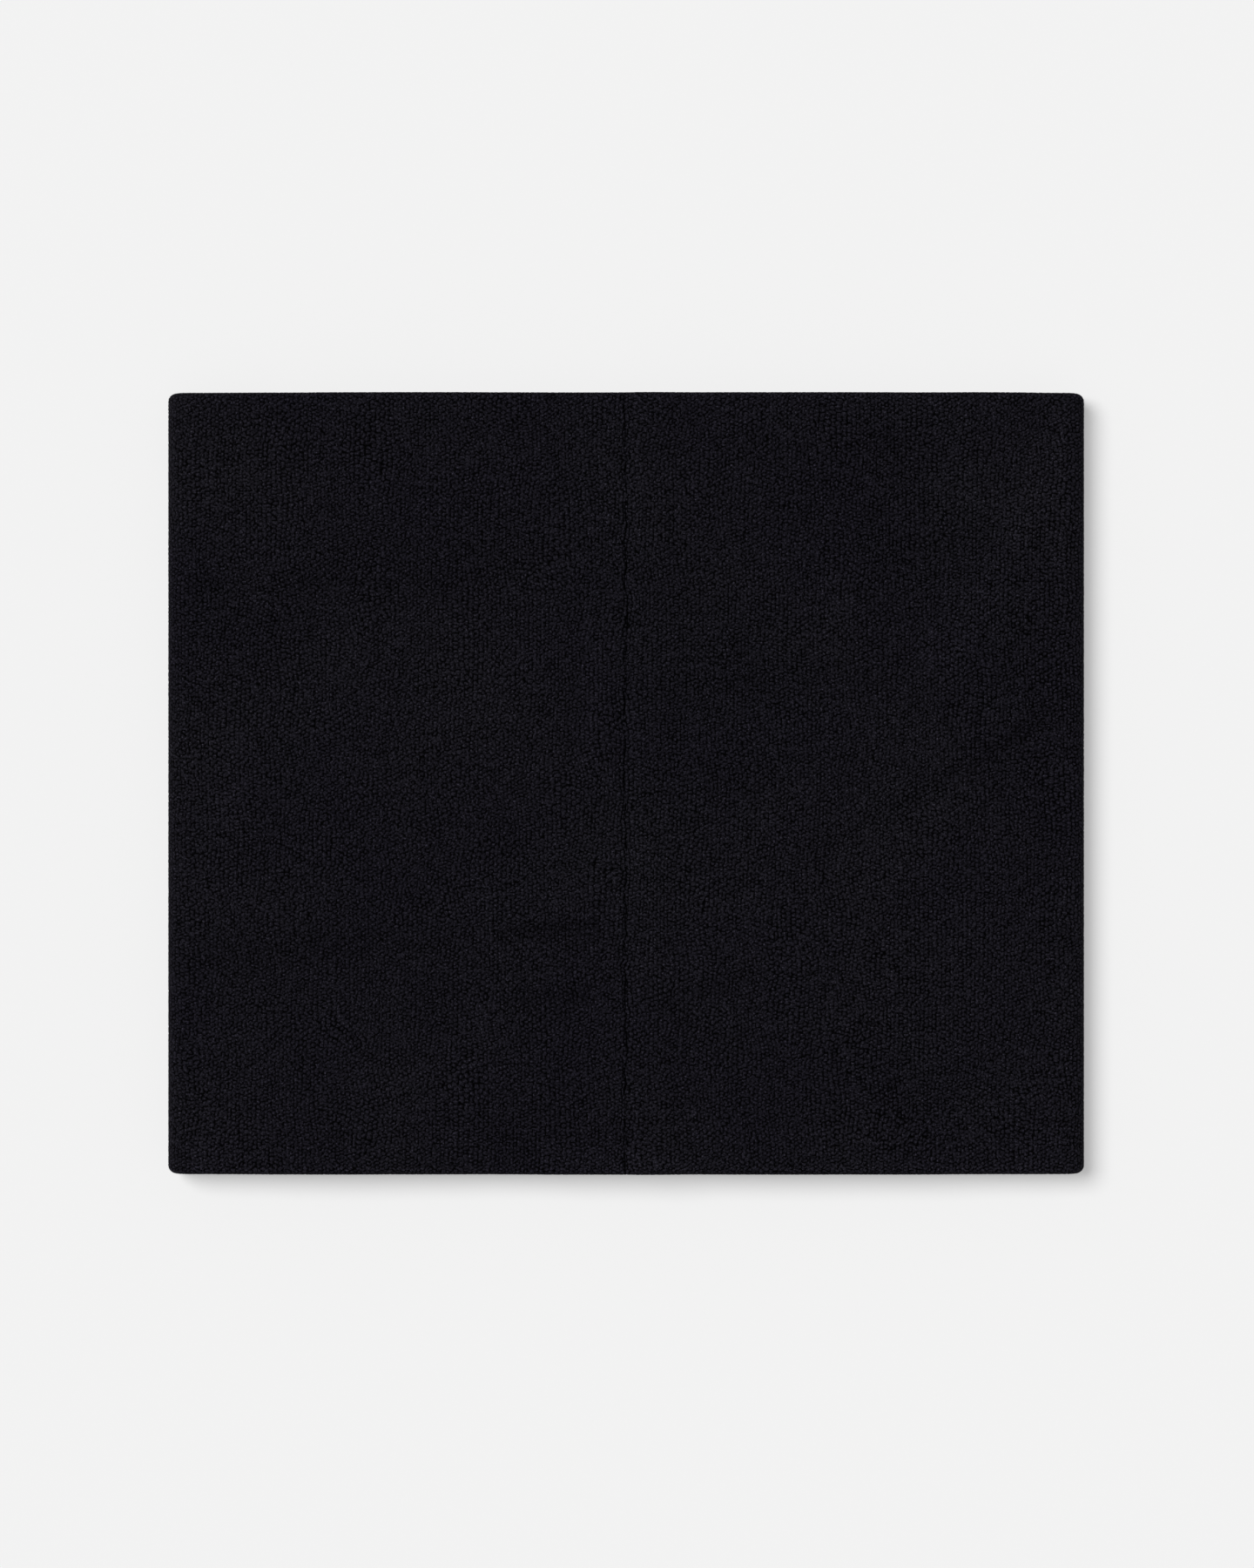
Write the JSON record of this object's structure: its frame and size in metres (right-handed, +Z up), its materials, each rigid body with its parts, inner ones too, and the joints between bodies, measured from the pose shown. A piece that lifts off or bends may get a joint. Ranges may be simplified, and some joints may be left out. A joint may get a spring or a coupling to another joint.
{
  "type": "neck gaiter",
  "caption": "Tube-shaped neck warmer of curly pile fleece with a smooth fleece lining, laid flat, with a straight seam down the middle of its front.",
  "frame": {"origin": "middle of the back face that the flat gaiter rests on", "axes": "+X across the gaiter to the right as the front is looked at, +Y along the tube from the bottom rim to the top rim, +Z up out of the front face"},
  "size_m": [0.28, 0.239, 0.013],
  "materials": {
    "pile_fleece": "matte curly pile",
    "lining_fleece": "matte brushed knit",
    "thread": "matte spun polyester",
    "label_tape": "satin woven tape"
  },
  "bodies": {
    "back_centre": {"shell_back_centre": "pile_fleece", "lining_back_centre": "lining_fleece", "rim_thread_back_centre": "thread"},
    "back_mid_left": {"shell_back_mid_left": "pile_fleece", "lining_back_mid_left": "lining_fleece", "rim_thread_back_mid_left": "thread"},
    "back_side_left": {"shell_back_side_left": "pile_fleece", "lining_back_side_left": "lining_fleece", "rim_thread_back_side_left": "thread"},
    "fold_left": {"shell_fold_left": "pile_fleece", "lining_fold_left": "lining_fleece", "rim_thread_fold_left": "thread"},
    "front_side_left": {"shell_front_side_left": "pile_fleece", "lining_front_side_left": "lining_fleece", "rim_thread_front_side_left": "thread"},
    "front_mid_left": {"shell_front_mid_left": "pile_fleece", "lining_front_mid_left": "lining_fleece", "rim_thread_front_mid_left": "thread"},
    "front_seam_left": {"shell_front_seam_left": "pile_fleece", "lining_front_seam_left": "lining_fleece", "rim_thread_front_seam_left": "thread"},
    "back_mid_right": {"shell_back_mid_right": "pile_fleece", "lining_back_mid_right": "lining_fleece", "rim_thread_back_mid_right": "thread"},
    "back_side_right": {"shell_back_side_right": "pile_fleece", "lining_back_side_right": "lining_fleece", "rim_thread_back_side_right": "thread"},
    "fold_right": {"shell_fold_right": "pile_fleece", "lining_fold_right": "lining_fleece", "rim_thread_fold_right": "thread"},
    "front_side_right": {"shell_front_side_right": "pile_fleece", "lining_front_side_right": "lining_fleece", "rim_thread_front_side_right": "thread"},
    "front_mid_right": {"shell_front_mid_right": "pile_fleece", "lining_front_mid_right": "lining_fleece", "rim_thread_front_mid_right": "thread"},
    "front_seam_right": {"shell_front_seam_right": "pile_fleece", "lining_front_seam_right": "lining_fleece", "rim_thread_front_seam_right": "thread", "shell_seam_thread": "thread", "lining_seam_thread": "thread", "turning_gap_thread": "thread", "care_label": "label_tape"}
  },
  "joints": [
    {"name": "tube_open", "type": "hinge", "parent": "back_centre", "child": "back_mid_right", "pos_m": [0.0267, 0, 0.005], "axis": [0, -1, 0], "range_deg": [0, 36]},
    {"name": "back_outer_turn_right", "type": "hinge", "parent": "back_mid_right", "child": "back_side_right", "pos_m": [0.0801, 0, 0.005], "axis": [0, -1, 0], "range_deg": [0, 36]},
    {"name": "back_fold_unbend_right", "type": "hinge", "parent": "back_side_right", "child": "fold_right", "pos_m": [0.1381, 0, 0.0019], "axis": [0, -1, 0], "range_deg": [-72, 0]},
    {"name": "front_fold_unbend_right", "type": "hinge", "parent": "fold_right", "child": "front_side_right", "pos_m": [0.1381, 0, 0.0111], "axis": [0, -1, 0], "range_deg": [-72, 0]},
    {"name": "front_outer_turn_right", "type": "hinge", "parent": "front_side_right", "child": "front_mid_right", "pos_m": [0.0801, 0, 0.008], "axis": [0, -1, 0], "range_deg": [0, 36]},
    {"name": "front_inner_turn_right", "type": "hinge", "parent": "front_mid_right", "child": "front_seam_right", "pos_m": [0.0267, 0, 0.008], "axis": [0, -1, 0], "range_deg": [0, 36]},
    {"name": "back_inner_turn_left", "type": "hinge", "parent": "back_centre", "child": "back_mid_left", "pos_m": [-0.0267, 0, 0.005], "axis": [0, 1, 0], "range_deg": [0, 36]},
    {"name": "back_outer_turn_left", "type": "hinge", "parent": "back_mid_left", "child": "back_side_left", "pos_m": [-0.0801, 0, 0.005], "axis": [0, 1, 0], "range_deg": [0, 36]},
    {"name": "back_fold_unbend_left", "type": "hinge", "parent": "back_side_left", "child": "fold_left", "pos_m": [-0.1381, 0, 0.0019], "axis": [0, 1, 0], "range_deg": [-72, 0]},
    {"name": "front_fold_unbend_left", "type": "hinge", "parent": "fold_left", "child": "front_side_left", "pos_m": [-0.1381, 0, 0.0111], "axis": [0, 1, 0], "range_deg": [-72, 0]},
    {"name": "front_outer_turn_left", "type": "hinge", "parent": "front_side_left", "child": "front_mid_left", "pos_m": [-0.0801, 0, 0.008], "axis": [0, 1, 0], "range_deg": [0, 36]},
    {"name": "front_inner_turn_left", "type": "hinge", "parent": "front_mid_left", "child": "front_seam_left", "pos_m": [-0.0267, 0, 0.008], "axis": [0, 1, 0], "range_deg": [0, 36]}
  ],
  "couplings": [
    {"joint": "back_outer_turn_right", "follows": "tube_open", "ratio": 1},
    {"joint": "back_fold_unbend_right", "follows": "tube_open", "ratio": -2},
    {"joint": "front_fold_unbend_right", "follows": "tube_open", "ratio": -2},
    {"joint": "front_outer_turn_right", "follows": "tube_open", "ratio": 1},
    {"joint": "front_inner_turn_right", "follows": "tube_open", "ratio": 1},
    {"joint": "back_inner_turn_left", "follows": "tube_open", "ratio": 1},
    {"joint": "back_outer_turn_left", "follows": "tube_open", "ratio": 1},
    {"joint": "back_fold_unbend_left", "follows": "tube_open", "ratio": -2},
    {"joint": "front_fold_unbend_left", "follows": "tube_open", "ratio": -2},
    {"joint": "front_outer_turn_left", "follows": "tube_open", "ratio": 1},
    {"joint": "front_inner_turn_left", "follows": "tube_open", "ratio": 1}
  ]
}
